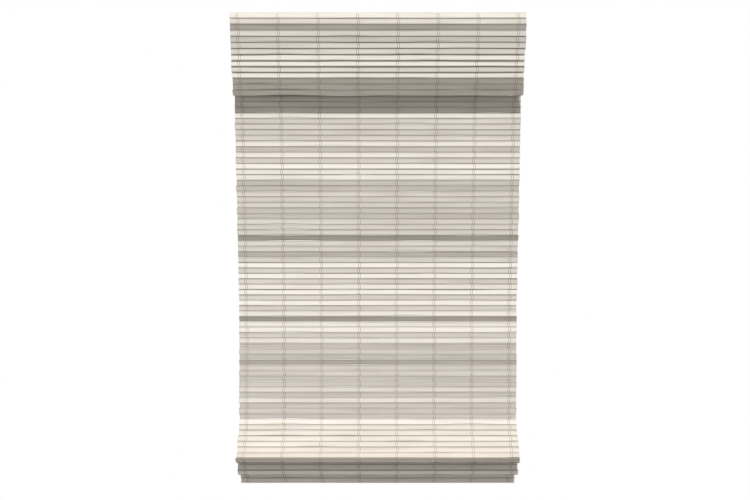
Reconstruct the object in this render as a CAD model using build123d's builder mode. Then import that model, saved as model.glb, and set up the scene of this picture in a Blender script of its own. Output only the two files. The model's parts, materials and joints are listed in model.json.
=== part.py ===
"""Cordless woven-wood roman blind, hung from two ceiling brackets and drawn part of the way up."""

from math import cos, radians, sin, tan
import os

from build123d import *

os.makedirs("parts", exist_ok=True)

# ---- Driving dimensions, mm -------------------------------------------------------------
# Origin: top of the brackets, in the middle. +Z up, the blind faces -Y.
panel_width = 584.0
slat_width = 10.8
slat_thickness = 1.5
slat_gap = 0.6
slat_edge_radius = 0.35
fold_room = 0.5          # from a slat's face to the axis that the panel folds about
pleat_slats = 7          # slats in half a pleat
pitch = slat_width + slat_gap
fold_offset = slat_thickness / 2 + fold_room

# Headrail, a steel channel open at the top
rail_depth = 40.0
rail_height = 29.0
rail_wall = 1.2
rail_lip = 4.0
rail_side_margin = 5.0   # the rail is this much shorter than the panel at each end
cap_thickness = 2.0
cap_plug_depth = 6.0
cap_plug_wall = 1.5
cap_corner_radius = 1.5
cap_clearance = 0.2

# Ceiling brackets
bracket_spacing = 490.0
bracket_length = 30.0
bracket_thickness = 1.5
bracket_hole_spacing = 20.0
bracket_hole_radius = 2.5
bracket_leg = 5.5
bracket_clearance = 0.4
bracket_barb = 2.4
bracket_side_margin = 2.0    # the bracket is this much narrower than the rail on each side

# Lift mechanism
shaft_flats = 5.0
shaft_y = 6.0
shaft_drop = 16.0        # below the top of the brackets
shaft_end_room = 12.0
cord_columns = (-197.5, 0.0, 197.5)
cord_radius = 0.7
cord_room = 0.3
spool_radius = 6.0
spool_flange_radius = 9.0
spool_flange = 1.0
spool_length = 18.0
winding_thickness = 1.2
journal_radius = 4.0
journal_length = 2.6
running_clearance = 0.05
cradle_ear = 2.0
cradle_base = 1.6
cradle_side_room = 0.4
hex_clearance = 0.05
cord_hole_radius = 2.6

# Spring motor
motor_x = 105.0
motor_length = 70.0
motor_depth = 34.0
motor_height = 24.0
motor_wall = 1.6
motor_lid_thickness = 1.6
motor_lid_chamfer = 0.4
motor_corner_radius = 2.0
drum_radius = 5.5
drum_spacing = 15.5
drum_end_room = 0.4
spring_thickness = 0.25
spring_room = 0.3
spring_side_room = 2.0
storage_turns = 1.6
output_turns = 0.6
storage_pin_radius = 2.0

# What the panel hangs from
panel_y = 6.0            # middle of the hanging slats
hanger_thickness = 1.2
hanger_leg = 12.0
hanger_depth = 15.0
hanger_room = 0.9        # from the channel to the top slat
clamp_bar_height = 9.0
fixing_columns = 6
fixing_pitch = 105.0
clamp_screw_radius = 1.5
clamp_screw_head = 1.2
rivet_radius = 1.6
rivet_head = 1.0
rivet_tail = 0.8
fixing_clearance = 0.1

# Valance, on hook-and-loop tape along the front of the rail
tape_thickness = 1.0
tape_height = 24.0
valance_upright_slats = 3
valance_leaning_slats = 11
valance_lean = -7.0
valance_top_gap = 1.0

# Lift rings
ring_radius = 5.0
ring_wire = 0.8
ring_room = 0.3

# Bottom batten, behind the last two slats
batten_height = 20.0
batten_thickness = 4.0
batten_margin = 4.0
batten_edge_radius = 0.8
cord_anchor_radius = 2.6
cord_anchor_height = 6.0
cord_anchor_chamfer = 0.5

# ---- Values worked out from those above -------------------------------------------------
rail_top = -bracket_thickness
rail_bottom = rail_top - rail_height
rail_floor = rail_bottom + rail_wall
rail_length = panel_width - 2 * (rail_side_margin + cap_thickness)
shaft_z = -shaft_drop
winding_radius = spool_radius + winding_thickness
cord_y = shaft_y + winding_radius + cord_room + cord_radius
cord_offset = cord_y - panel_y
panel_top = rail_bottom - hanger_thickness - hanger_room
front_tape_y = -rail_depth / 2
valance_y = front_tape_y - 2 * tape_thickness - slat_thickness / 2
fixing_x = [(i - (fixing_columns - 1) / 2) * fixing_pitch for i in range(fixing_columns)]

# ---- The panel's section, from the headrail down to the hem -----------------------------
# Each stretch has: name, the side that its top fold closes on (+1 front, -1 back), how far it
# is turned forward from hanging straight, and the turn of each of its slats within it.
flat = [0.0] * pleat_slats
stretches = [
    ("top_slats", 1, 0.0, [0.0] * 14),
    ("pleat_slats_1", 1, 0.0, flat),
    ("pleat_slats_2", -1, 0.0, flat),
    ("pleat_slats_3", 1, 0.0, flat),
    ("pleat_slats_4", -1, 0.0, flat),
    ("pleat_slats_5", 1, 0.0, flat),
    ("pleat_slats_6", -1, 4.0, flat),
    ("pleat_slats_7", 1, 8.0, flat),
    ("pleat_slats_8", -1, 4.0, flat),
    ("ring_row_slat", 1, 20.0, [0.0]),
    ("front_loop_slats", -1, 29.0, [-1.0, 1.0, 2.0, 2.0, 1.0, 33.0, -39.0]),
    ("front_loop_return", -1, -143.0, [0.0] * 6),
    ("rear_loop_slats", 1, 24.0, [-3.0, -1.0, 1.0, 1.0, 1.0, 3.0, 5.0, -40.0]),
    ("rear_loop_return", -1, -153.0, [0.0] * 5),
    ("hem_slats", 1, 3.0, [0.0] * 7),
]


def along(turn):
    """Direction down a slat, as (forward, up), for its turn in degrees from hanging straight."""
    return Vector(sin(radians(turn)), -cos(radians(turn)))


def outward(turn):
    """Direction out of a slat's front face, as (forward, up)."""
    return Vector(cos(radians(turn)), sin(radians(turn)))


def room_for_bend(turn, next_turn):
    """Extra gap that keeps the edges of two slats apart where the panel bends sharply."""
    return slat_thickness * tan(radians(abs(next_turn - turn)) / 2)


def run_of_slats(start, turns):
    """Middles and turns of the slats that follow one another from start, and where they end."""
    point = start
    slats = []
    for place, turn in enumerate(turns):
        if place:
            point = point + along(turn) * room_for_bend(turns[place - 1], turn)
        slats.append((point + along(turn) * pitch / 2, turn))
        point = point + along(turn) * pitch
    return slats, point


def hang_panel():
    """Follow the panel down from the rail: each stretch's slats, and the axis it folds about."""
    section = {}
    point = Vector(-panel_y, panel_top)
    above = own_above = 0.0
    for name, side, turn, own_turns in stretches:
        point = point + along(above) * room_for_bend(own_above, own_turns[0])
        fold = point + outward(above) * side * fold_offset
        start = fold - outward(turn) * side * fold_offset
        slats, point = run_of_slats(start, [turn + own for own in own_turns])
        section[name] = {"slats": slats, "start": start, "fold": fold, "turn": turn, "end": point}
        above = turn
        own_above = own_turns[-1]
    return section


section = hang_panel()


def finish(builder, name):
    """Name a finished piece and write it out."""
    builder.part.label = name
    export_step(builder.part, f"parts/{name}.step")


def slat_group(name, slats, holes=()):
    """Slats of the panel's full width, seen end on in the YZ plane, with holes through the first."""
    with BuildPart() as group:
        with BuildSketch(Plane.YZ):
            for middle, turn in slats:
                with Locations(Location((-middle.X, middle.Y, 0), (0, 0, -turn))):
                    RectangleRounded(slat_thickness, slat_width, slat_edge_radius)
        extrude(amount=panel_width / 2, both=True)
        if holes:
            middle = slats[0][0]
            with Locations(*[Location((x, -middle.X, middle.Y), (90, 0, 0)) for x in holes]):
                Hole(radius=clamp_screw_radius + fixing_clearance, depth=3 * slat_thickness)
    finish(group, name)


# ---- Headrail ---------------------------------------------------------------------------
with BuildPart() as headrail:
    with BuildSketch(Plane.YZ):
        with Locations((0, rail_top - rail_height / 2)):
            Rectangle(rail_depth, rail_height)
            Rectangle(rail_depth - 2 * rail_wall, rail_height - 2 * rail_wall, mode=Mode.SUBTRACT)
        with Locations((0, rail_top - rail_wall / 2)):
            Rectangle(rail_depth - 2 * rail_lip, 2 * rail_wall, mode=Mode.SUBTRACT)
    extrude(amount=rail_length / 2, both=True)
    with Locations(*[(x, cord_y, rail_floor) for x in cord_columns]):
        Hole(radius=cord_hole_radius, depth=2 * rail_wall)
    with Locations(*[(x, panel_y - hanger_depth / 2, rail_floor) for x in fixing_x]):
        Hole(radius=rivet_radius + fixing_clearance, depth=2 * rail_wall)
finish(headrail, "headrail")

with BuildPart() as end_caps:
    for side in (-1, 1):
        plate_plane = Plane.YZ.offset(side * rail_length / 2)
        with BuildSketch(plate_plane):
            with Locations((0, rail_top - rail_height / 2)):
                RectangleRounded(rail_depth, rail_height, cap_corner_radius)
        extrude(amount=side * cap_thickness)
        with BuildSketch(plate_plane):
            with Locations((0, rail_top - rail_height / 2)):
                plug_depth_y = rail_depth - 2 * (rail_wall + cap_clearance)
                plug_height = rail_height - 2 * (rail_wall + cap_clearance)
                Rectangle(plug_depth_y, plug_height)
                hollow_depth_y = plug_depth_y - 2 * cap_plug_wall
                hollow_height = plug_height - 2 * cap_plug_wall
                Rectangle(hollow_depth_y, hollow_height, mode=Mode.SUBTRACT)
        extrude(amount=-side * cap_plug_depth)
finish(end_caps, "end_caps")

with BuildPart() as ceiling_brackets:
    for side in (-1, 1):
        middle = side * bracket_spacing / 2
        with BuildSketch(Plane.YZ.offset(middle)):
            with Locations((0, -bracket_thickness / 2)):
                Rectangle(rail_depth - 2 * bracket_side_margin, bracket_thickness)
            leg_y = rail_depth / 2 - rail_lip - bracket_clearance - rail_wall / 2
            barb_top = rail_top - rail_wall - bracket_clearance
            for hand in (-1, 1):
                with Locations((hand * leg_y, rail_top - bracket_leg / 2)):
                    Rectangle(rail_wall, bracket_leg)
                with Locations((hand * (leg_y + bracket_barb / 2), barb_top - rail_wall / 2)):
                    Rectangle(bracket_barb, rail_wall)
        extrude(amount=bracket_length / 2, both=True)
    screw_places = [
        (end * bracket_spacing / 2, hand * bracket_hole_spacing / 2, 0)
        for end in (-1, 1)
        for hand in (-1, 1)
    ]
    with Locations(*screw_places):
        Hole(radius=bracket_hole_radius, depth=2 * bracket_thickness)
finish(ceiling_brackets, "ceiling_brackets")

# ---- Lift shaft, cord spools and their cradles ------------------------------------------
shaft_length = rail_length - 2 * shaft_end_room

with BuildPart() as lift_shaft:
    with BuildSketch(Plane.YZ):
        with Locations((shaft_y, shaft_z)):
            RegularPolygon(radius=shaft_flats / 2, side_count=6, major_radius=False)
    extrude(amount=shaft_length / 2, both=True)
finish(lift_shaft, "lift_shaft")

with BuildPart() as cord_spools:
    for x in cord_columns:
        spool_centre = Plane.YZ.offset(x)
        with BuildSketch(spool_centre):
            with Locations((shaft_y, shaft_z)):
                Circle(spool_radius)
        extrude(amount=spool_length / 2, both=True)
        for side in (-1, 1):
            with BuildSketch(Plane.YZ.offset(x + side * spool_length / 2)):
                with Locations((shaft_y, shaft_z)):
                    Circle(spool_flange_radius)
            extrude(amount=-side * spool_flange)
            with BuildSketch(Plane.YZ.offset(x + side * spool_length / 2)):
                with Locations((shaft_y, shaft_z)):
                    Circle(journal_radius)
            extrude(amount=side * journal_length)
        with BuildSketch(spool_centre):
            with Locations((shaft_y, shaft_z)):
                RegularPolygon(shaft_flats / 2 + hex_clearance, 6, major_radius=False)
        extrude(amount=spool_length, both=True, mode=Mode.SUBTRACT)
finish(cord_spools, "cord_spools")

with BuildPart() as cord_windings:
    for x in cord_columns:
        with BuildSketch(Plane.YZ.offset(x)):
            with Locations((shaft_y, shaft_z)):
                Circle(winding_radius)
                Circle(spool_radius, mode=Mode.SUBTRACT)
        extrude(amount=spool_length / 2 - 2 * spool_flange, both=True)
finish(cord_windings, "cord_windings")

ear_gap = spool_length + 2 * cradle_side_room
cradle_length = ear_gap + 2 * cradle_ear
ear_back = cord_y - cord_radius
ear_front = shaft_y - (ear_back - shaft_y)

with BuildPart() as spool_cradles:
    for x in cord_columns:
        with BuildSketch(Plane.YZ.offset(x)):
            with Locations((shaft_y, rail_floor + cradle_base / 2)):
                Rectangle(2 * (rail_depth / 2 - rail_wall - cradle_side_room - shaft_y), cradle_base)
        extrude(amount=cradle_length / 2, both=True)
        for side in (-1, 1):
            with BuildSketch(Plane.YZ.offset(x + side * ear_gap / 2)):
                ear_height = shaft_z - rail_floor
                with Locations(((ear_front + ear_back) / 2, rail_floor + ear_height / 2)):
                    Rectangle(ear_back - ear_front, ear_height)
                with Locations((shaft_y, shaft_z)):
                    Circle((ear_back - ear_front) / 2)
                    Circle(journal_radius + running_clearance, mode=Mode.SUBTRACT)
            extrude(amount=side * cradle_ear)
        with Locations((x, cord_y, rail_floor + cradle_base)):
            Hole(radius=cord_hole_radius, depth=2 * cradle_base)
finish(spool_cradles, "spool_cradles")

# ---- Spring motor: a coiled band winds from the storage drum to the output drum ---------
motor_y = shaft_y - drum_spacing / 2
storage_y = shaft_y - drum_spacing
motor_bottom = rail_floor
motor_top = motor_bottom + motor_height
drum_length = motor_length - 2 * motor_wall - 2 * drum_end_room

with BuildPart() as motor_case:
    with BuildSketch(Plane.XY.offset(motor_bottom)):
        with Locations((motor_x, motor_y)):
            RectangleRounded(motor_length, motor_depth, motor_corner_radius)
    extrude(amount=motor_height)
    with BuildSketch(Plane.XY.offset(motor_bottom + motor_wall)):
        with Locations((motor_x, motor_y)):
            Rectangle(motor_length - 2 * motor_wall, motor_depth - 2 * motor_wall)
    extrude(amount=motor_height, mode=Mode.SUBTRACT)
    with BuildSketch(Plane.YZ.offset(motor_x)):
        with Locations((shaft_y, shaft_z)):
            Circle(journal_radius + running_clearance)
        with Locations((storage_y, shaft_z)):
            Circle(storage_pin_radius)
    extrude(amount=motor_length, both=True, mode=Mode.SUBTRACT)
finish(motor_case, "motor_case")

with BuildPart() as motor_lid:
    with BuildSketch(Plane.XY.offset(motor_top)):
        with Locations((motor_x, motor_y)):
            RectangleRounded(motor_length, motor_depth, motor_corner_radius)
    extrude(amount=motor_lid_thickness)
    chamfer(motor_lid.faces().sort_by(Axis.Z)[-1].edges(), motor_lid_chamfer)
finish(motor_lid, "motor_lid")

with BuildPart() as output_drum:
    with BuildSketch(Plane.YZ.offset(motor_x)):
        with Locations((shaft_y, shaft_z)):
            Circle(drum_radius)
    extrude(amount=drum_length / 2, both=True)
    with BuildSketch(Plane.YZ.offset(motor_x)):
        with Locations((shaft_y, shaft_z)):
            Circle(journal_radius)
    extrude(amount=motor_length / 2, both=True)
    with BuildSketch(Plane.YZ.offset(motor_x)):
        with Locations((shaft_y, shaft_z)):
            RegularPolygon(shaft_flats / 2 + hex_clearance, 6, major_radius=False)
    extrude(amount=motor_length, both=True, mode=Mode.SUBTRACT)
finish(output_drum, "output_drum")

with BuildPart() as storage_drum:
    with BuildSketch(Plane.YZ.offset(motor_x)):
        with Locations((storage_y, shaft_z)):
            Circle(drum_radius)
            Circle(storage_pin_radius + running_clearance, mode=Mode.SUBTRACT)
    extrude(amount=drum_length / 2, both=True)
finish(storage_drum, "storage_drum")

with BuildPart() as storage_pin:
    with BuildSketch(Plane.YZ.offset(motor_x)):
        with Locations((storage_y, shaft_z)):
            Circle(storage_pin_radius)
    extrude(amount=motor_length / 2, both=True)
finish(storage_pin, "storage_pin")

with BuildPart() as motor_spring:
    coil_inner = drum_radius + spring_room
    storage_outer = coil_inner + storage_turns
    output_outer = coil_inner + output_turns
    with BuildSketch(Plane.YZ.offset(motor_x)):
        with Locations((storage_y, shaft_z)):
            Circle(storage_outer)
        with Locations((shaft_y, shaft_z)):
            Circle(output_outer)
        band_top = Vector(storage_y, shaft_z + storage_outer - spring_thickness)
        band_bottom = Vector(shaft_y, shaft_z + output_outer - spring_thickness)
        lift = Vector(0, spring_thickness)
        with BuildLine():
            Polyline(band_top, band_bottom, band_bottom + lift, band_top + lift, close=True)
        make_face()
        for y in (storage_y, shaft_y):
            with Locations((y, shaft_z)):
                Circle(coil_inner, mode=Mode.SUBTRACT)
    extrude(amount=drum_length / 2 - spring_side_room, both=True)
finish(motor_spring, "motor_spring")

# ---- What the panel hangs from, and its fixings -----------------------------------------
slat_front_y = panel_y - slat_thickness / 2
slat_back_y = panel_y + slat_thickness / 2
clamp_z = panel_top - slat_gap / 2 - slat_width / 2

with BuildPart() as panel_hanger:
    with BuildSketch(Plane.YZ):
        with Locations((slat_front_y - hanger_depth / 2, rail_bottom - hanger_thickness / 2)):
            Rectangle(hanger_depth, hanger_thickness)
        with Locations((slat_front_y - hanger_thickness / 2, rail_bottom - hanger_leg / 2)):
            Rectangle(hanger_thickness, hanger_leg)
    extrude(amount=rail_length / 2, both=True)
    with Locations(*[(x, panel_y - hanger_depth / 2, rail_bottom) for x in fixing_x]):
        Hole(radius=rivet_radius + fixing_clearance, depth=2 * hanger_thickness)
    with Locations(*[Location((x, slat_front_y, clamp_z), (90, 0, 0)) for x in fixing_x]):
        Hole(radius=clamp_screw_radius + fixing_clearance, depth=3 * hanger_thickness)
finish(panel_hanger, "panel_hanger")

with BuildPart() as clamp_bar:
    with BuildSketch(Plane.YZ):
        with Locations((slat_back_y + hanger_thickness / 2, clamp_z)):
            Rectangle(hanger_thickness, clamp_bar_height)
    extrude(amount=rail_length / 2, both=True)
    with Locations(*[Location((x, slat_back_y, clamp_z), (90, 0, 0)) for x in fixing_x]):
        Hole(radius=clamp_screw_radius + fixing_clearance, depth=3 * hanger_thickness)
finish(clamp_bar, "clamp_bar")

clamp_front_y = slat_front_y - hanger_thickness
clamp_back_y = slat_back_y + hanger_thickness

with BuildPart() as clamp_screws:
    for x in fixing_x:
        with BuildSketch(Plane.XZ.offset(-clamp_back_y)):
            with Locations((x, clamp_z)):
                Circle(clamp_screw_radius)
        extrude(amount=clamp_back_y - clamp_front_y)
        head_steps = ((clamp_front_y, clamp_screw_head), (clamp_back_y, -clamp_screw_head))
        for face_y, outward_step in head_steps:
            with BuildSketch(Plane.XZ.offset(-face_y)):
                with Locations((x, clamp_z)):
                    Circle(2 * clamp_screw_radius)
            extrude(amount=outward_step)
finish(clamp_screws, "clamp_screws")

with BuildPart() as hanger_rivets:
    for x in fixing_x:
        rivet_y = panel_y - hanger_depth / 2
        with BuildSketch(Plane.XY.offset(rail_bottom - hanger_thickness)):
            with Locations((x, rivet_y)):
                Circle(rivet_radius)
        extrude(amount=hanger_thickness + rail_wall)
        for face_z, step in ((rail_floor, rivet_head), (rail_bottom - hanger_thickness, -rivet_tail)):
            with BuildSketch(Plane.XY.offset(face_z)):
                with Locations((x, rivet_y)):
                    Circle(2 * rivet_radius)
            extrude(amount=step)
finish(hanger_rivets, "hanger_rivets")

# ---- Valance ----------------------------------------------------------------------------
for tape_name, tape_front in (("valance_hook_tape", 0), ("valance_loop_tape", 1)):
    with BuildPart() as tape:
        with BuildSketch(Plane.YZ):
            with Locations(
                (front_tape_y - (tape_front + 0.5) * tape_thickness, rail_top - rail_height / 2)
            ):
                Rectangle(tape_thickness, tape_height)
        extrude(amount=rail_length / 2, both=True)
    finish(tape, tape_name)

valance_turns = [0.0] * valance_upright_slats + [valance_lean] * valance_leaning_slats
valance, _ = run_of_slats(Vector(-valance_y, -valance_top_gap), valance_turns)
slat_group("valance_slats", valance)

# ---- Panel ------------------------------------------------------------------------------
for name, stretch in section.items():
    slat_group(name, stretch["slats"], fixing_x if name == "top_slats" else ())

# ---- Lift rings, one row behind each fold that the cords draw together ------------------
# Each row: the slats that carry it, and which of them (first or last).
ring_rows = [
    ("lift_rings_1", "top_slats", -1),
    ("lift_rings_2", "pleat_slats_2", -1),
    ("lift_rings_3", "pleat_slats_4", -1),
    ("lift_rings_4", "pleat_slats_6", -1),
    ("lift_rings_5", "ring_row_slat", 0),
    ("lift_rings_6", "rear_loop_slats", 0),
    ("lift_rings_7", "hem_slats", 0),
]


def ring_centre(carrier, which):
    """Middle of a ring that lies level, just clear of the back of its slat."""
    middle, turn = section[carrier]["slats"][which]
    reach = slat_thickness / 2 / cos(radians(turn)) + ring_room + ring_radius + ring_wire
    reach = reach + ring_wire * abs(tan(radians(turn)))
    return Vector(middle.X - reach, middle.Y)


for name, carrier, which in ring_rows:
    centre = ring_centre(carrier, which)
    with BuildPart() as rings:
        with Locations(*[(x, -centre.X, centre.Y) for x in cord_columns]):
            Torus(ring_radius, ring_wire)
    finish(rings, name)

# ---- Hem: batten and cord anchors -------------------------------------------------------
hem_middle = (section["hem_slats"]["slats"][-1][0] + section["hem_slats"]["slats"][-2][0]) / 2
hem_turn = section["hem_slats"]["turn"]
batten_middle = hem_middle - outward(hem_turn) * (slat_thickness + batten_thickness) / 2

with BuildPart() as bottom_batten:
    with BuildSketch(Plane.YZ):
        with Locations(Location((-batten_middle.X, batten_middle.Y, 0), (0, 0, -hem_turn))):
            RectangleRounded(batten_thickness, batten_height, batten_edge_radius)
    extrude(amount=panel_width / 2 - batten_margin, both=True)
finish(bottom_batten, "bottom_batten")

# ---- Lift cords, from the spools down through the rings to the anchors ------------------
anchor_centre = ring_centre("hem_slats", 0)
row_centre = ring_centre("ring_row_slat", 0)
cord_bend_radius = 260.0
low_forward = (anchor_centre.X + row_centre.X) / 2
cord_points = [Vector(-cord_y, shaft_z)]
for name in ("pleat_slats_6", "pleat_slats_7"):
    start = section[name]["start"]
    cord_points.append(Vector(start.X - cord_offset, start.Y))
cord_points.append(Vector(low_forward, row_centre.Y + pitch))
cord_low = anchor_centre.Y - cord_anchor_height
cord_points.append(Vector(low_forward, cord_low))

with BuildPart() as lift_cords:
    for x in cord_columns:
        with BuildLine() as cord_line:
            FilletPolyline(*[(x, -p.X, p.Y) for p in cord_points], radius=cord_bend_radius)
        with BuildSketch(Plane(origin=(x, cord_y, shaft_z), z_dir=(0, 0, -1))):
            Circle(cord_radius)
        sweep(path=cord_line.line)
finish(lift_cords, "lift_cords")

with BuildPart() as cord_anchors:
    with Locations(*[(x, -low_forward, cord_low - cord_anchor_height / 2) for x in cord_columns]):
        Cylinder(cord_anchor_radius, cord_anchor_height)
    chamfer(cord_anchors.edges().filter_by(GeomType.CIRCLE), cord_anchor_chamfer)
finish(cord_anchors, "cord_anchors")
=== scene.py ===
# Woven bamboo roman blind: the looks of each piece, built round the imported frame
import json
import math
import random

import bmesh
import bpy
from mathutils import Matrix, Vector, noise


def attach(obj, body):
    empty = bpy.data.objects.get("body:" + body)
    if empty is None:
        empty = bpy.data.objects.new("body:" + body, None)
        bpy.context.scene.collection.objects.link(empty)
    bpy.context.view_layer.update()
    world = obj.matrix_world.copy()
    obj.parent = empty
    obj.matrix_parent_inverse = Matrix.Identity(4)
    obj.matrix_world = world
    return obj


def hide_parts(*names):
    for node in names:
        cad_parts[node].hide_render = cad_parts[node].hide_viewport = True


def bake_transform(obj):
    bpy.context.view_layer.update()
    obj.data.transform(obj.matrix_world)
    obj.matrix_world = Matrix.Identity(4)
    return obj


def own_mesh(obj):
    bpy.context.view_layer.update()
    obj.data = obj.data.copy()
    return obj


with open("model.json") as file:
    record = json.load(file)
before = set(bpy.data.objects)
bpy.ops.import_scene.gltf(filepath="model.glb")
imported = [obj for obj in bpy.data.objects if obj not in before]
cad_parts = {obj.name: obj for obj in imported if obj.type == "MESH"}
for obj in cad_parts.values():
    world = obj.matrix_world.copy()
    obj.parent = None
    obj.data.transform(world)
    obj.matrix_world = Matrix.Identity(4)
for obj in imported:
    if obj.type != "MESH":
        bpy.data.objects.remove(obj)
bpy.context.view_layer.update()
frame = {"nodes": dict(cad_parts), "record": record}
mm = 0.001
bodyNodes = frame["record"]["behaviour"]["bodies"]
print("frame loaded:", len(frame["nodes"]), "nodes")

# camera and light come first, so the view is settled before anything is made
view = {"lens": 31.0, "sensor": 36.0, "nearest": 0.05, "place": (-0.006, -1.334, -0.333), "tiltDown": 6.0}
light = {"keyPower": 4.6, "keyHeight": 68.5, "keySide": 12.0, "keySpread": 4.0,
         "fillPower": 5.0, "fillPlace": (-1.1, -1.9, -0.3), "fillSize": (1.6, 1.6), "aim": (0.0, 0.0, -0.45),
         "backPower": 9.0, "backPlace": (0.9, 2.1, 0.5), "backSize": (1.4, 1.4), "sky": 0.27}


def addToScene(name, data):
    made = bpy.data.objects.new(name, data)
    bpy.context.scene.collection.objects.link(made)
    return made


def lookingAt(place, aim):
    return (Vector(aim) - Vector(place)).to_track_quat("-Z", "Y").to_matrix().to_4x4()


def makeCamera():
    lens = bpy.data.cameras.new("camera")
    lens.lens = view["lens"]
    lens.sensor_width = view["sensor"]
    lens.clip_start = view["nearest"]
    camera = addToScene("camera", lens)
    camera.location = view["place"]
    camera.rotation_euler = (math.radians(90.0 - view["tiltDown"]), 0.0, 0.0)
    bpy.context.scene.camera = camera


def makeSoftbox(name, power, place, size, aim):
    lamp = bpy.data.lights.new(name, "AREA")
    lamp.shape = "RECTANGLE"
    lamp.energy = power
    lamp.size, lamp.size_y = size
    addToScene(name, lamp).matrix_world = Matrix.Translation(place) @ lookingAt(place, aim)


def makeKey():
    # one distant soft key, high in front and a little to the right
    lamp = bpy.data.lights.new("key", "SUN")
    lamp.energy = light["keyPower"]
    lamp.angle = math.radians(light["keySpread"])
    turn = (math.radians(90.0 - light["keyHeight"]), 0.0, math.radians(light["keySide"]))
    addToScene("key", lamp).rotation_euler = turn


def makeSky():
    # plain white behind the blind, and a dimmer white for the light that it gives
    world = bpy.data.worlds.new("studio")
    bpy.context.scene.world = world
    world.use_nodes = True
    tree = world.node_tree
    tree.nodes.clear()
    seen, lit = tree.nodes.new("ShaderNodeBackground"), tree.nodes.new("ShaderNodeBackground")
    lit.inputs["Strength"].default_value = light["sky"]
    for shade in (seen, lit):
        shade.inputs["Color"].default_value = (1.0, 1.0, 1.0, 1.0)
    path = tree.nodes.new("ShaderNodeLightPath")
    mix = tree.nodes.new("ShaderNodeMixShader")
    out = tree.nodes.new("ShaderNodeOutputWorld")
    tree.links.new(path.outputs["Is Camera Ray"], mix.inputs["Fac"])
    tree.links.new(lit.outputs[0], mix.inputs[1])
    tree.links.new(seen.outputs[0], mix.inputs[2])
    tree.links.new(mix.outputs[0], out.inputs["Surface"])


makeCamera()
makeKey()
makeSoftbox("fillBox", light["fillPower"], light["fillPlace"], light["fillSize"], light["aim"])
makeSoftbox("backBox", light["backPower"], light["backPlace"], light["backSize"], light["aim"])
makeSky()
bpy.context.scene.view_settings.view_transform = "Standard"
print("camera and lights set")


def startGroup(name, inputs, outputs):
    group = bpy.data.node_groups.new(name, "ShaderNodeTree")
    for socket, start in inputs.items():
        made = group.interface.new_socket(name=socket, in_out="INPUT", socket_type="NodeSocketFloat")
        made.default_value = start
    for socket in outputs:
        group.interface.new_socket(name=socket, in_out="OUTPUT", socket_type="NodeSocketFloat")
    return group, group.nodes.new("NodeGroupInput"), group.nodes.new("NodeGroupOutput")


def setOrLink(tree, socket, value):
    if isinstance(value, bpy.types.NodeSocket):
        tree.links.new(value, socket)
    else:
        socket.default_value = value


# each of these adds one node, and gives back what it puts out
def addMath(tree, operation, *values):
    made = tree.nodes.new("ShaderNodeMath")
    made.operation = operation
    for place, value in enumerate(values):
        setOrLink(tree, made.inputs[place], value)
    return made.outputs[0]


def addNoise(tree, vector, scale, detail=2.0, roughness=0.5):
    made = tree.nodes.new("ShaderNodeTexNoise")
    made.inputs["Detail"].default_value = detail
    made.inputs["Roughness"].default_value = roughness
    tree.links.new(vector, made.inputs["Vector"])
    setOrLink(tree, made.inputs["Scale"], scale)
    return made.outputs["Fac"]


def addStretch(tree, vector, scale):
    made = tree.nodes.new("ShaderNodeMapping")
    made.inputs["Scale"].default_value = scale
    tree.links.new(vector, made.inputs["Vector"])
    return made.outputs["Vector"]


def addRange(tree, value, low, high, newLow=0.0, newHigh=1.0):
    made = tree.nodes.new("ShaderNodeMapRange")
    for socket, number in (("From Min", low), ("From Max", high), ("To Min", newLow), ("To Max", newHigh)):
        made.inputs[socket].default_value = number
    tree.links.new(value, made.inputs["Value"])
    return made.outputs[0]


def mixColour(tree, amount, first, second, blend="MIX"):
    made = tree.nodes.new("ShaderNodeMix")
    made.data_type = "RGBA"
    made.blend_type = blend
    for socket, value in ((0, amount), (6, first), (7, second)):
        setOrLink(tree, made.inputs[socket], (*value, 1.0) if isinstance(value, tuple) else value)
    return made.outputs[2]


def addGroup(tree, group, **values):
    made = tree.nodes.new("ShaderNodeGroup")
    made.node_tree = group
    for socket, value in values.items():
        made.inputs[socket].default_value = value
    return made


def addBump(tree, shader, height, distance):
    bump = tree.nodes.new("ShaderNodeBump")
    bump.inputs["Distance"].default_value = distance
    bump.inputs["Strength"].default_value = 1.0
    tree.links.new(height, bump.inputs["Height"])
    tree.links.new(bump.outputs[0], shader.inputs["Normal"])


def startMaterial(name):
    material = bpy.data.materials.new(name)
    material.use_nodes = True
    tree = material.node_tree
    return material, tree, tree.nodes["Principled BSDF"]


# wood fibre that runs along X: fine lines, broader streaks and slow patches
fibreLayers = {"Fibre": {"scale": "Fine", "stretch": (22.0, 500.0, 1900.0), "detail": 3.0, "roughness": 0.65},
               "Streak": {"scale": "Broad", "stretch": (9.0, 140.0, 520.0), "detail": 2.0, "roughness": 0.5},
               "Patch": {"scale": "Slow", "stretch": (7.0, 30.0, 95.0), "detail": 1.0, "roughness": 0.4}}


def makeFibreGroup():
    scales = {layer["scale"]: 1.0 for layer in fibreLayers.values()}
    group, given, out = startGroup("woodFibre", scales, fibreLayers)
    place = group.nodes.new("ShaderNodeTexCoord").outputs["Object"]
    for name, layer in fibreLayers.items():
        drawn = addStretch(group, place, layer["stretch"])
        lines = addNoise(group, drawn, given.outputs[layer["scale"]], layer["detail"], layer["roughness"])
        group.links.new(lines, out.inputs[name])
    return group


def makeMottleGroup():
    # slight unevenness of a coated or moulded surface, and its finer tooth
    group, given, out = startGroup("faintMottle", {"Clouds": 60.0, "Tooth": 1400.0}, ("Cloud", "Grain"))
    place = group.nodes.new("ShaderNodeTexCoord").outputs["Object"]
    group.links.new(addNoise(group, place, given.outputs["Clouds"], detail=3.0), out.inputs["Cloud"])
    group.links.new(addNoise(group, place, given.outputs["Tooth"], detail=1.0), out.inputs["Grain"])
    return group


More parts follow.
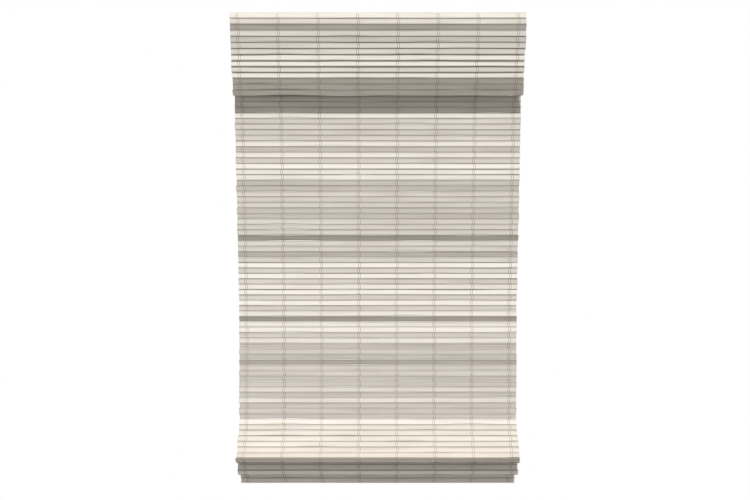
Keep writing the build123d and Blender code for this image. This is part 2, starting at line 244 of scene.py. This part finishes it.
def makeYarnGroup():
    # strands that wind round a thread or cord, with a little fuzz
    twist = {"Twist": 2600.0, "Lean": 3200.0, "Fluff": 900.0}
    group, given, out = startGroup("twistedYarn", twist, ("Strand", "Fuzz"))
    place = group.nodes.new("ShaderNodeTexCoord").outputs["Object"]
    axes = group.nodes.new("ShaderNodeSeparateXYZ")
    group.links.new(place, axes.inputs[0])
    along = addMath(group, "MULTIPLY", axes.outputs["Z"], given.outputs["Twist"])
    across = addMath(group, "MULTIPLY", axes.outputs["X"], given.outputs["Lean"])
    wave = addMath(group, "SINE", addMath(group, "ADD", along, across))
    group.links.new(addMath(group, "MULTIPLY_ADD", wave, 0.5, 0.5), out.inputs["Strand"])
    group.links.new(addNoise(group, place, given.outputs["Fluff"]), out.inputs["Fuzz"])
    return group


fibreGroup, mottleGroup, yarnGroup = makeFibreGroup(), makeMottleGroup(), makeYarnGroup()

# white wash over bamboo, thin enough to let the fibre through
# a span is where an effect begins and ends, and dusk darkens green and blue a little more than red, so darker
# patches and slats, with their painted shade, come out warmer, as a painted warm shade
bambooFinish = {"wash": (0.86, 0.805, 0.72), "bare": (0.64, 0.56, 0.46), "shadow": (0.50, 0.43, 0.35),
                "wornSpan": (0.36, 0.60), "streakSpan": (0.30, 0.52), "cloudSpan": (0.32, 0.68),
                "bareLeast": 0.14, "bareMore": 0.30, "streakShadow": 0.12,
                "duskLeast": 0.95, "duskMore": 0.07, "duskPower": {"Red": 1.0, "Green": 1.05, "Blue": 1.12},
                "mostTone": 1.1, "roughSpan": (0.3, 0.7), "roughest": 0.84, "smoothest": 0.64, "gloss": 0.28,
                "streakHeight": 1.3, "grainDepth": 0.00012}
battenFinish = {**bambooFinish, "wash": (0.64, 0.53, 0.39), "bare": (0.47, 0.36, 0.24)}


def makeBamboo(name, finish, toned):
    material, tree, shader = startMaterial(name)
    grain = addGroup(tree, fibreGroup)
    worn = addRange(tree, grain.outputs["Fibre"], *finish["wornSpan"], 1.0, 0.0)
    streak = addRange(tree, grain.outputs["Streak"], *finish["streakSpan"], 1.0, 0.0)
    cloud = addRange(tree, grain.outputs["Patch"], *finish["cloudSpan"])
    bareMost = addMath(tree, "MULTIPLY_ADD", streak, finish["bareMore"], finish["bareLeast"])
    washed = mixColour(tree, addMath(tree, "MULTIPLY", worn, bareMost), finish["wash"], finish["bare"])
    shaded = addMath(tree, "MULTIPLY", streak, finish["streakShadow"])
    washed = mixColour(tree, shaded, washed, finish["shadow"])
    dusk = addMath(tree, "MULTIPLY_ADD", cloud, finish["duskMore"], finish["duskLeast"])
    if toned:  # each slat's own tone is on its mesh
        # the tone attribute also carries each slat's painted light and painted shade
        tone = tree.nodes.new("ShaderNodeAttribute")
        tone.attribute_name = "slatToneAndPaintedLight"
        dusk = addMath(tree, "MULTIPLY", dusk, tone.outputs["Fac"])
        dusk = addMath(tree, "MINIMUM", dusk, finish["mostTone"])
    level = tree.nodes.new("ShaderNodeCombineColor")
    for socket, power in finish["duskPower"].items():
        tree.links.new(addMath(tree, "POWER", dusk, power), level.inputs[socket])
    colour = mixColour(tree, 1.0, washed, level.outputs[0], "MULTIPLY")
    rough = addRange(tree, grain.outputs["Fibre"], *finish["roughSpan"], finish["roughest"], finish["smoothest"])
    tree.links.new(colour, shader.inputs["Base Color"])
    tree.links.new(rough, shader.inputs["Roughness"])
    shader.inputs["Specular IOR Level"].default_value = finish["gloss"]
    height = addMath(tree, "MULTIPLY_ADD", grain.outputs["Streak"], finish["streakHeight"], grain.outputs["Fibre"])
    addBump(tree, shader, height, finish["grainDepth"])
    return material


yarnFinish = {"strandShare": 0.6, "fuzzShare": 0.4, "fuzzSpan": (0.3, 0.7), "roughest": 0.95,
              "smoothest": 0.82, "sheen": 0.25}


def makeYarn(name, pale, dark, depth, **twist):
    material, tree, shader = startMaterial(name)
    yarn = addGroup(tree, yarnGroup, **twist)
    fuzz = addMath(tree, "MULTIPLY", yarn.outputs["Fuzz"], yarnFinish["fuzzShare"])
    shade = addMath(tree, "MULTIPLY_ADD", yarn.outputs["Strand"], yarnFinish["strandShare"], fuzz)
    rough = addRange(tree, yarn.outputs["Fuzz"], *yarnFinish["fuzzSpan"],
                     yarnFinish["roughest"], yarnFinish["smoothest"])
    tree.links.new(mixColour(tree, shade, dark, pale), shader.inputs["Base Color"])
    tree.links.new(rough, shader.inputs["Roughness"])
    shader.inputs["Sheen Weight"].default_value = yarnFinish["sheen"]
    addBump(tree, shader, yarn.outputs["Strand"], depth)
    return material


coatFinish = {"wornSpan": (0.35, 0.75), "roughSpan": (0.3, 0.7), "smoother": 0.06, "rougher": 0.08}


def makeCoated(name, colour, worn, roughness, metallic=0.0, clouds=60.0, depth=0.00003):
    # enamel, plated metal, moulded plastic or paint
    material, tree, shader = startMaterial(name)
    mottle = addGroup(tree, mottleGroup, Clouds=clouds)
    share = addRange(tree, mottle.outputs["Cloud"], *coatFinish["wornSpan"])
    rough = addRange(tree, mottle.outputs["Cloud"], *coatFinish["roughSpan"],
                     roughness - coatFinish["smoother"], roughness + coatFinish["rougher"])
    tree.links.new(mixColour(tree, share, colour, worn), shader.inputs["Base Color"])
    tree.links.new(rough, shader.inputs["Roughness"])
    shader.inputs["Metallic"].default_value = metallic
    addBump(tree, shader, mottle.outputs["Grain"], depth)
    return material


pileFinish = {"clouds": 700.0, "tooth": 3200.0, "roughSpan": (0.2, 0.8), "smoothest": 0.86, "roughest": 0.98,
              "sheen": 0.5, "depth": 0.0005}


def makePile(name, colour, shade):
    # short hook-and-loop pile
    material, tree, shader = startMaterial(name)
    mottle = addGroup(tree, mottleGroup, Clouds=pileFinish["clouds"], Tooth=pileFinish["tooth"])
    rough = addRange(tree, mottle.outputs["Grain"], *pileFinish["roughSpan"],
                     pileFinish["smoothest"], pileFinish["roughest"])
    tree.links.new(mixColour(tree, mottle.outputs["Cloud"], shade, colour), shader.inputs["Base Color"])
    tree.links.new(rough, shader.inputs["Roughness"])
    shader.inputs["Sheen Weight"].default_value = pileFinish["sheen"]
    addBump(tree, shader, mottle.outputs["Cloud"], pileFinish["depth"])
    return material


bamboo = makeBamboo("washedBamboo", bambooFinish, True)
warpYarn = makeYarn("warpYarn", (0.27, 0.22, 0.165), (0.12, 0.10, 0.075), 0.00008)
liftBraid = makeYarn("liftBraid", (0.86, 0.83, 0.77), (0.58, 0.55, 0.49), 0.00015, Twist=1500.0, Lean=1500.0)
finishes = {
    "rail_steel": makeCoated("railEnamel", (0.80, 0.79, 0.75), (0.72, 0.70, 0.66), 0.42),
    "bright_steel": makeCoated("zincSteel", (0.60, 0.61, 0.63), (0.44, 0.45, 0.47), 0.34,
                               metallic=1.0, clouds=240.0),
    "ring_nickel": makeCoated("dullNickel", (0.66, 0.63, 0.57), (0.48, 0.45, 0.40), 0.36,
                              metallic=1.0, clouds=300.0),
    "white_plastic": makeCoated("mouldedPlastic", (0.84, 0.83, 0.79), (0.76, 0.74, 0.69), 0.50, depth=0.00005),
    "tape": makePile("tapePile", (0.80, 0.78, 0.73), (0.52, 0.50, 0.45)),
    "batten_wood": makeBamboo("battenWood", battenFinish, False),
    "cord": liftBraid,
}
print("materials made")

# sizes in millimetres; a pace is how fast a waver changes along the slat
slatWork = {
    "length": 584.0, "width": 11.25, "thickness": 1.5, "topRound": 0.4, "seamRound": 1.0,
    "lengthSteps": 96, "faceCuts": (-0.12, 0.192),
    "bow": 0.22, "bowPace": 3.4, "bowDrift": 0.21, "ownBow": 0.12, "ownPace": 6.5,
    "ripple": 0.16, "ripplePace": 9.0, "rippleAcross": 60.0,
    "raggedEnd": 0.9, "endSlant": 0.06, "endShare": 0.03, "fray": 0.25, "frayPace": 900.0,
    # a lens is a spot where the slat stands off its neighbour, so the seam opens and is painted darker there, as
    # painted shade
    "seamLens": 0.8, "lensPace": 8.0, "lensFrom": 0.16, "lensSpan": 0.5, "lensReach": 0.28, "lensSwell": 0.5,
    "seamShade": 0.42, "seamFrom": 0.915, "seamSpan": 0.06, "lensShade": 0.35, "lensSpread": 1.6,
    "topShade": 0.6, "topEdge": 0.045, "topSpan": 0.02,
    "patches": ((2.6, 21.0, 0.08), (12.0, 31.0, 0.03)), "rowStep": 7.31,
    "leanWander": 1.0, "toneWander": 0.02, "valanceEase": 0.5, "loopShare": 0.6, "loopEase": 13.0,
    "foldShare": 0.3,
    # how a slat may lie and look: its lean in degrees, its tone, painted lighter or darker as the light would fall
    # on that lean, and how many in a hundred get it by chance
    "grades": {"white": {"lean": 6.0, "tone": 1.16, "share": 7},
               "high": {"lean": 4.0, "tone": 1.07, "share": 21},
               "middle": {"lean": 1.0, "tone": 0.94, "share": 46},
               "low": {"lean": -2.0, "tone": 0.87, "share": 17},
               "dim": {"lean": -4.5, "tone": 0.72, "share": 7},
               "dark": {"lean": -7.0, "tone": 0.58, "share": 2},
               "backward": {"lean": -9.0, "tone": 0.67, "share": 0},
               "steep": {"lean": -22.0, "tone": 0.72, "share": 0}},
    # the few that plainly stand out from their neighbours, by their number in the run
    "standOut": {"valance_slats": {2: "dark", 7: "white", 11: "backward", 12: "backward", 13: "backward"},
                 "pleat_slats_5": {6: "white"}, "pleat_slats_6": {2: "dark"}, "front_loop_slats": {5: "steep"}},
    # painted light: how far a whole run is painted brighter or darker than its slats' own tone, for the light that
    # falls on that run
    "runPaintedLight": {"valance_slats": 1.12, "pleat_slats_7": 0.97, "pleat_slats_8": 0.93, "front_loop_slats": 0.93,
                "rear_loop_slats": 1.2, "hem_slats": 1.1},
    # the valance's close-set seams get less painted shadow
    "runSeamShade": {"valance_slats": 0.22},
}
slatRuns = ("valance_slats", "top_slats", *(f"pleat_slats_{pleat}" for pleat in range(1, 9)), "ring_row_slat",
            "front_loop_slats", "front_loop_return", "rear_loop_slats", "rear_loop_return", "hem_slats")
evenRuns = ("top_slats",) + slatRuns[-6:]
rising = ("front_loop_return", "rear_loop_return")
chance = random.Random(57)


def islandsOf(node):
    # the separate solids of a node, as lists of points, from a merged copy of its mesh
    copy = bmesh.new()
    copy.from_mesh(frame["nodes"][node].data)
    bmesh.ops.remove_doubles(copy, verts=copy.verts, dist=0.002 * mm)
    copy.verts.ensure_lookup_table()
    seen, islands = set(), []
    for start in copy.verts:
        if start in seen:
            continue
        seen.add(start)
        reached, waiting = [], [start]
        while waiting:
            vert = waiting.pop()
            reached.append(vert.co.copy())
            for edge in vert.link_edges:
                other = edge.other_vert(vert)
                if other not in seen:
                    seen.add(other)
                    waiting.append(other)
        islands.append(reached)
    copy.free()
    return islands


def middleOf(points):
    low = Vector([min(p[axis] for p in points) for axis in range(3)])
    high = Vector([max(p[axis] for p in points) for axis in range(3)])
    return (low + high) / 2


def bodyOf(node):
    return next(body for body, nodes in bodyNodes.items() if node in nodes)


def gradeOf(node, index):
    if index in slatWork["standOut"].get(node, {}):
        return slatWork["standOut"][node][index]
    if node in evenRuns:
        return "middle"
    shares = {name: grade["share"] for name, grade in slatWork["grades"].items()}
    return chance.choices(list(shares), weights=list(shares.values()))[0]


def slatPlaces(node):
    # middle of each slat and its heading along the panel, first slat first
    places = []
    for points in islandsOf(node):
        middle = middleOf(points)
        yy = sum((p.y - middle.y) ** 2 for p in points)
        zz = sum((p.z - middle.z) ** 2 for p in points)
        yz = sum((p.y - middle.y) * (p.z - middle.z) for p in points)
        angle = 0.5 * math.atan2(2 * yz, yy - zz)
        along = Vector((0.0, math.cos(angle), math.sin(angle)))
        if (along.z > 0) != (node in rising):
            along = -along
        places.append((middle, along))
    places.sort(key=lambda place: place[0].z, reverse=node not in rising)
    return places


def outwardOf(along):
    return Vector((0.0, along.z, -along.y))


def headingOf(along):
    # how far a slat is turned from hanging straight down, in degrees
    return math.degrees(math.atan2(-along.y, -along.z))


def leaned(along, degrees):
    turned = math.radians(degrees)
    return along * math.cos(turned) + outwardOf(along) * math.sin(turned)


def leanFor(node, along, lean):
    # pleats are straightened to the upright, the valance half way, and the gathered folds keep near their solids
    if node.startswith("pleat"):
        return lean - headingOf(along)
    if node == "valance_slats":
        return lean - headingOf(along) * slatWork["valanceEase"]
    if node == "front_loop_slats":
        return lean * slatWork["loopShare"] - slatWork["loopEase"]
    if "loop" in node or node == "hem_slats":
        return lean * slatWork["foldShare"]
    return lean


def makeSlatTemplate():
    # one slat lying along X, its front to -Y and its lower edge to -Z
    made = bmesh.new()
    bmesh.ops.create_cube(made, size=1.0)
    size = (slatWork["length"] * mm, slatWork["thickness"] * mm, slatWork["width"] * mm)
    bmesh.ops.scale(made, vec=size, verts=made.verts)

    def longEdges(test):
        return [e for e in made.edges if abs((e.verts[0].co - e.verts[1].co).x) > 0.5 * size[0]
                and test(e.verts[0].co)]

    for radius, test in ((slatWork["seamRound"], lambda co: co.z < 0 and co.y < 0),
                         (slatWork["topRound"], lambda co: co.z > 0 or co.y > 0)):
        bmesh.ops.bevel(made, geom=longEdges(test), offset=radius * mm, segments=2, profile=0.5,
                        affect="EDGES", material=-1, offset_type="OFFSET")
    bmesh.ops.subdivide_edges(made, edges=longEdges(lambda co: True), cuts=slatWork["lengthSteps"] - 1,
                              use_grid_fill=True)
    for share in slatWork["faceCuts"]:
        bmesh.ops.bisect_plane(made, geom=made.verts[:] + made.edges[:] + made.faces[:], dist=1e-7,
                               plane_co=(0, 0, size[2] * share), plane_no=(0, 0, 1))
    mesh = bpy.data.meshes.new("slatTemplate")
    made.to_mesh(mesh)
    made.free()
    return mesh


slatTemplate = makeSlatTemplate()


def waver(x, row, layer):
    return noise.noise(Vector((x, row, layer)))


def ramp(value, start, span):
    return max(0.0, min(1.0, (value - start) / span))


def shapeSlat(verts, number, tone, toneAndLightLayer, seamShade):
    # gives one copy of the template its own bow, ripple, seam lenses and ragged ends, and paints its tone with
    # painted light for its grade and painted shade in its seams
    # the plain numbers in a waver only keep one effect's noise apart from another's
    work = slatWork
    half = work["length"] * mm / 2
    width = work["width"] * mm
    row = number * work["rowStep"]
    ends = [(chance.uniform(-1, 1) * work["raggedEnd"] * mm, chance.uniform(-1, 1) * work["endSlant"])
            for side in range(2)]
    for vert in verts:
        x, y, z = vert.co
        low = ramp(0.5 - z / width, 0.0, 1.0)  # 0 at the slat's top edge, 1 at its seam
        bow = waver(x * work["bowPace"], number * work["bowDrift"], 4.0) * work["bow"] * mm
        ownBow = waver(x * work["ownPace"], row, 11.0) * work["ownBow"] * mm
        ripple = waver(x * work["ripplePace"], row, z * work["rippleAcross"]) * work["ripple"] * mm
        lens = ramp(waver(x * work["lensPace"], row + 3.1, 2.0), work["lensFrom"], work["lensSpan"])
        lift = lens * work["seamLens"] * mm * ramp(low, 1.0 - work["lensReach"], work["lensReach"])
        end, slant = ends[0 if x < 0 else 1]
        fray = waver(z * work["frayPace"], row, x) * work["fray"] * mm
        atEnd = ramp(abs(x) / half, 1.0 - work["endShare"], work["endShare"])
        vert.co.x = x + (end + slant * z + fray) * atEnd
        vert.co.y = y + ripple + (lift * work["lensSwell"] if y < 0 else 0.0)
        vert.co.z = z + bow + ownBow + lift
        # painted shade in the seam along each slat's lower edge, deeper where a lens opens it; part of it stands
        # for raw bamboo the wash misses
        deepestSeamShade = seamShade + work["lensShade"] * min(1.0, lens * work["lensSpread"])
        seamPaintedShade = ramp(low, work["seamFrom"], work["seamSpan"]) * deepestSeamShade
        # painted shade along each slat's top edge, where the seam above meets it
        topPaintedShade = ramp(work["topEdge"] - low, 0.0, work["topSpan"]) * work["topShade"]
        patch = sum(waver(x * pace, row, layer) * depth for pace, layer, depth in work["patches"])
        vert[toneAndLightLayer] = (tone + patch) * (1.0 - seamPaintedShade) * (1.0 - topPaintedShade)


def makeSlats(node, places, first):
    made = bmesh.new()
    toneAndLightLayer = made.verts.layers.float.new("slatToneAndPaintedLight")
    runPaintedLight = slatWork["runPaintedLight"].get(node, 1.0)
    seamShade = slatWork["runSeamShade"].get(node, slatWork["seamShade"])
    leans = []
    for index, (middle, along) in enumerate(places):
        grade = slatWork["grades"][gradeOf(node, index)]
        lean = grade["lean"] + chance.uniform(-1, 1) * slatWork["leanWander"]
        heading = leaned(along, leanFor(node, along, lean))
        leans.append((middle, heading))
        start = len(made.verts)
        made.from_mesh(slatTemplate)
        made.verts.ensure_lookup_table()
        verts = made.verts[start:]
        # painted light: the grade's tone and its run's painted light brighten or darken the whole slat
        tone = grade["tone"] * runPaintedLight + chance.uniform(-1, 1) * slatWork["toneWander"]
        shapeSlat(verts, first + index, tone, toneAndLightLayer, seamShade)
        turned = Matrix((Vector((1, 0, 0)), -outwardOf(heading), -heading)).transposed().to_4x4()
        bmesh.ops.transform(made, matrix=Matrix.Translation(middle) @ turned, verts=verts)
    mesh = bpy.data.meshes.new(node + "_woven")
    made.to_mesh(mesh)
    made.free()
    mesh.materials.append(bamboo)
    for face in mesh.polygons:
        face.use_smooth = False
    return addToScene(node + "_woven", mesh), leans


slatRows, firstOf = {}, {}
slatCount = 0
for node in slatRuns:
    firstOf[node] = slatCount
    piece, slatRows[node] = makeSlats(node, slatPlaces(node), slatCount)
    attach(piece, bodyOf(node))
    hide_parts(node)
    slatCount += len(slatRows[node])
print("slats made:", slatCount)

# cotton warp: threads that weave in front of and behind the slats, in columns
# columns, spread, radius and wander are in millimetres, and each reach is a share of a slat's width
warp = {"columns": (-276.5, -197.5, -118.5, -39.5, 39.5, 118.5, 197.5, 276.5), "spread": (-3.0, -1.0, 1.0, 3.0),
        "radius": 0.28, "bite": 0.8, "reach": 0.34, "wander": 0.25, "wanderPace": 18.0,
        "tuck": 0.8, "bridgeReach": 0.42, "foldReach": 0.62, "blendReach": 0.4}


def threadPoint(place, share, side, x):
    middle, heading = place
    lift = (slatWork["thickness"] / 2 + warp["radius"] * warp["bite"]) * mm * side
    spot = middle + heading * (share * slatWork["width"] * mm) + outwardOf(heading) * lift
    return Vector((x, spot.y, spot.z))


def sideOf(number, order):
    # neighbouring threads pass a slat on opposite sides
    return 1 if (number + order) % 2 == 0 else -1


def threadLines(row, first):
    # every thread's points down one run of slats
    lines = []
    for column in warp["columns"]:
        for order, across in enumerate(warp["spread"]):
            points = []
            for index, place in enumerate(row):
                drift = waver(column, order, place[0].z * warp["wanderPace"]) * warp["wander"]
                x = (column + across + drift) * mm
                for share in (-warp["reach"], warp["reach"]):
                    points.append(threadPoint(place, share, sideOf(first + index, order), x))
            lines.append(points)
    return lines


def makeTube(name, lines, radius, material, bevelSteps=1, smooth=False):
    # tubes along lines of points: straight from point to point, or a smooth spline that they steer
    curve = bpy.data.curves.new(name, "CURVE")
    curve.dimensions = "3D"
    curve.bevel_depth = radius * mm
    curve.bevel_resolution = bevelSteps
    curve.use_fill_caps = True
    for points in lines:
        spline = curve.splines.new("NURBS" if smooth else "POLY")
        spline.points.add(len(points) - 1)
        for made, point in zip(spline.points, points):
            made.co = (*point, 1.0)
        if smooth:
            spline.order_u = 3
            spline.use_endpoint_u = True
    holder = addToScene(name + "Curve", curve)
    bpy.context.view_layer.update()
    mesh = bpy.data.meshes.new_from_object(holder.evaluated_get(bpy.context.evaluated_depsgraph_get()))
    bpy.data.objects.remove(holder)
    bpy.data.curves.remove(curve)
    mesh.name = name
    mesh.materials.clear()
    mesh.materials.append(material)
    for face in mesh.polygons:
        face.use_smooth = True
    return addToScene(name, mesh)


def makeBridge(upper, lower):
    # the threads between the last slat of one fold and the first slat of the next
    last, first = slatRows[upper][-1], slatRows[lower][0]
    beyond = warp["foldReach"] * slatWork["width"] * mm
    tip = (last[0] + last[1] * beyond + first[0] - first[1] * beyond) / 2
    near, far = warp["reach"] * warp["tuck"], warp["bridgeReach"]
    lines = []
    for column in warp["columns"]:
        for order, across in enumerate(warp["spread"]):
            side = sideOf(firstOf[lower] - 1, order)
            x = (column + across) * mm
            points = [threadPoint(last, share, side, x) for share in (near, far)]
            if last[1].dot(first[1]) < 0:  # at a sharp fold they go round its tip
                points.append(Vector((x, tip.y, tip.z)))
            points += [threadPoint(first, -share, -side, x) for share in (far, near)]
            lines.append(points)
    piece = makeTube("warp_bridge_" + lower, lines, warp["radius"], warpYarn)
    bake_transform(piece)


for node in slatRuns:
    threads = makeTube(node.replace("slats", "warp").replace("slat", "warp") + "_warp",
                       threadLines(slatRows[node], firstOf[node]), warp["radius"], warpYarn)
    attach(threads, bodyOf(node))
panelRuns = slatRuns[1:]
for upper, lower in zip(panelRuns, panelRuns[1:]):
    makeBridge(upper, lower)
print("warp threads made")

# lift cords and the turns wound on the spools; radii are in millimetres, and keep is what raising leaves
# path and foot are route points (y, z) in metres: off the spool, down the back, in behind the ring row
cordWork = {"radius": 0.7, "turns": 7, "turnPoints": 14, "windRadius": 6.6, "woundShare": 0.86, "keep": 0.412,
            "spoolAxis": (0.006, -0.016),
            "path": ((0.0142, -0.016), (0.0142, -0.3), (0.0142, -0.5911), (0.00863, -0.6708), (-0.00822, -0.8238)),
            "foot": ((-0.00822, -0.8238), (-0.00822, -0.863), (-0.00822, -0.9031))}


def cordLines(columns, path):
    return [[Vector((x, y, z)) for y, z in path] for x in columns]


def turnLines():
    lines = []
    axisY, axisZ = cordWork["spoolAxis"]
    wound = cordWork["windRadius"] * mm
    for solid in sorted(islandsOf("cord_windings"), key=lambda points: middleOf(points).x):
        low = min(p.x for p in solid) + cordWork["radius"] * mm
        high = max(p.x for p in solid) - cordWork["radius"] * mm
        points = []
        for step in range(cordWork["turns"] * cordWork["turnPoints"] + 1):
            turn = step / cordWork["turnPoints"]
            angle = 2 * math.pi * turn
            x = low + (high - low) * turn / cordWork["turns"]
            points.append(Vector((x, axisY + wound * math.cos(angle), axisZ + wound * math.sin(angle))))
        lines.append(points)
    return lines


def makeCords():
    columns = sorted(middleOf(points).x for points in islandsOf("lift_cords"))
    windings = turnLines()
    runs = makeTube("lift_cord_runs", cordLines(columns, cordWork["path"]), cordWork["radius"], liftBraid, 2, True)
    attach(runs, "headrail")
    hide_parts("lift_cords")
    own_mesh(runs)
    feet = makeTube("lift_cord_feet", cordLines(columns, cordWork["foot"]), cordWork["radius"], liftBraid, 2, True)
    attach(feet, "ring_row")
    wound = makeTube("cord_turns", windings, cordWork["radius"] * cordWork["woundShare"], liftBraid, 1, True)
    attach(wound, "lift_shaft")
    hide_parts("cord_windings")


makeCords()
print("cords made")

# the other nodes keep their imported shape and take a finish
for node in frame["nodes"].values():
    if node.hide_render:
        continue
    slots = [material.name.split(".")[0] for material in node.data.materials]
    slotName = next((slot for slot in slots if slot in finishes), "rail_steel")
    node.data.materials.clear()
    node.data.materials.append(finishes[slotName])
print("finishes set on the kept nodes")

# pale floor well below the blind, in metres
floorWork = {"size": 0.7, "height": -1.5, "shade": (0.86, 0.85, 0.83), "darker": (0.80, 0.79, 0.77),
             "roughness": 0.8, "clouds": 8.0}


def makeFloor():
    made = bmesh.new()
    bmesh.ops.create_grid(made, x_segments=2, y_segments=2, size=floorWork["size"] / 2)
    bmesh.ops.translate(made, vec=(0, 0, floorWork["height"]), verts=made.verts)
    mesh = bpy.data.meshes.new("floor")
    made.to_mesh(mesh)
    made.free()
    mesh.materials.append(makeCoated("floorPaint", floorWork["shade"], floorWork["darker"],
                                     floorWork["roughness"], clouds=floorWork["clouds"]))
    addToScene("floor", mesh)


makeFloor()
bpy.context.view_layer.update()
